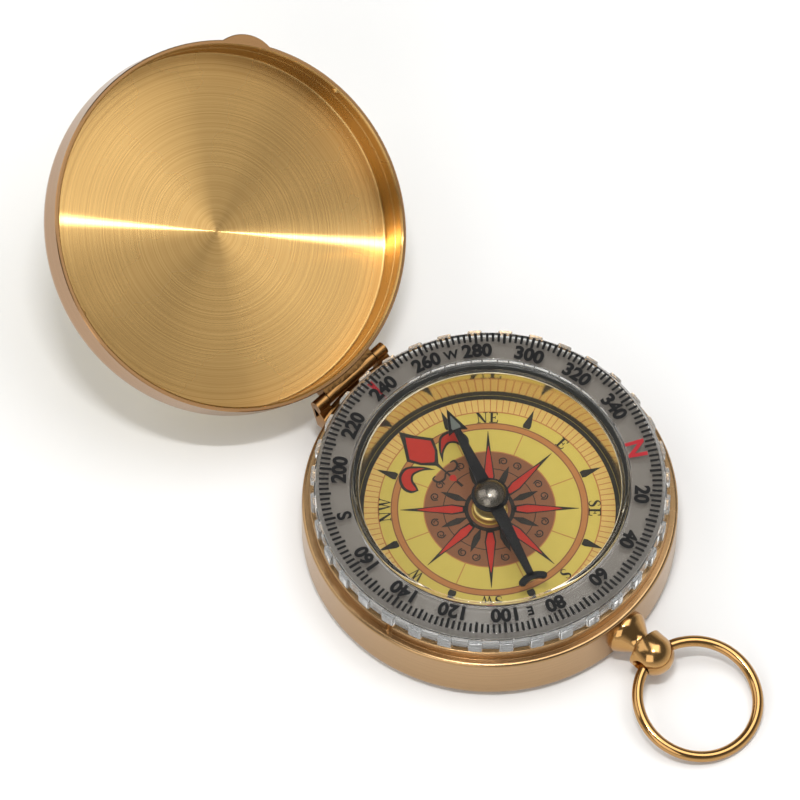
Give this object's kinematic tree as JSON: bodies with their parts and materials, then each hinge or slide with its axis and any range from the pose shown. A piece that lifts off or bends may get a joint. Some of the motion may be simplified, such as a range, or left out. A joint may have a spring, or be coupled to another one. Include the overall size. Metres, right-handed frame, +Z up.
{
  "type": "pocket compass",
  "caption": "Round brass pocket compass with a hinged lid, a turning clear degree bezel, a dial with a needle on a pivot, and a hanging bow ring on a stem.",
  "frame": {"origin": "centre of the case's flat bottom face, on the surface that it stands on", "axes": "+Z up along the case's axis, +Y to the lid hinge, -Y to the pendant stem and bow, +X across"},
  "size_m": [0.05, 0.1189, 0.0359],
  "materials": {
    "case_brass": "satin",
    "lid_brass": "spun, satin",
    "polished_brass": "polished",
    "steel": "plain",
    "black_steel": "black lacquer",
    "cap_metal": "grey, polished",
    "jewel": "polished",
    "carrier_plastic": "moulded",
    "dial_paper": "printed",
    "plate_grey": "satin grey",
    "clear_acrylic": "clear, moulded"
  },
  "bodies": {
    "base": {"base_case": "case_brass", "case_hinge_leaf": "case_brass", "hinge_pin": "steel", "pendant_stem": "polished_brass", "pendant_screw": "steel", "dial_carrier": "carrier_plastic", "dial_card": "dial_paper", "well_ring": "polished_brass", "pivot_seat": "polished_brass", "pivot_pin": "steel", "index_plate": "plate_grey", "crystal": "clear_acrylic"},
    "lid": {"lid_shell": "lid_brass", "lid_hinge_leaf": "lid_brass"},
    "bezel": {"bezel_ring": "clear_acrylic"},
    "needle": {"needle_blade": "black_steel", "needle_cap": "cap_metal", "needle_jewel": "jewel"},
    "bow": {"bow_ring": "polished_brass"}
  },
  "joints": [
    {"name": "lid_hinge", "type": "hinge", "parent": "base", "child": "lid", "pos_m": [0, 0.026, 0.0094], "axis": [1, 0, 0], "range_deg": [0, 150]},
    {"name": "bezel_turn", "type": "hinge", "parent": "base", "child": "bezel", "pos_m": [0, 0, 0.0101], "axis": [0, 0, 1], "continuous": true},
    {"name": "needle_spin", "type": "hinge", "parent": "base", "child": "needle", "pos_m": [0, 0, 0.0092], "axis": [0, 0, 1], "continuous": true},
    {"name": "bow_swing", "type": "hinge", "parent": "base", "child": "bow", "pos_m": [0, -0.0303, 0.0042], "axis": [1, 0, 0], "range_deg": [-122, 98]}
  ]
}
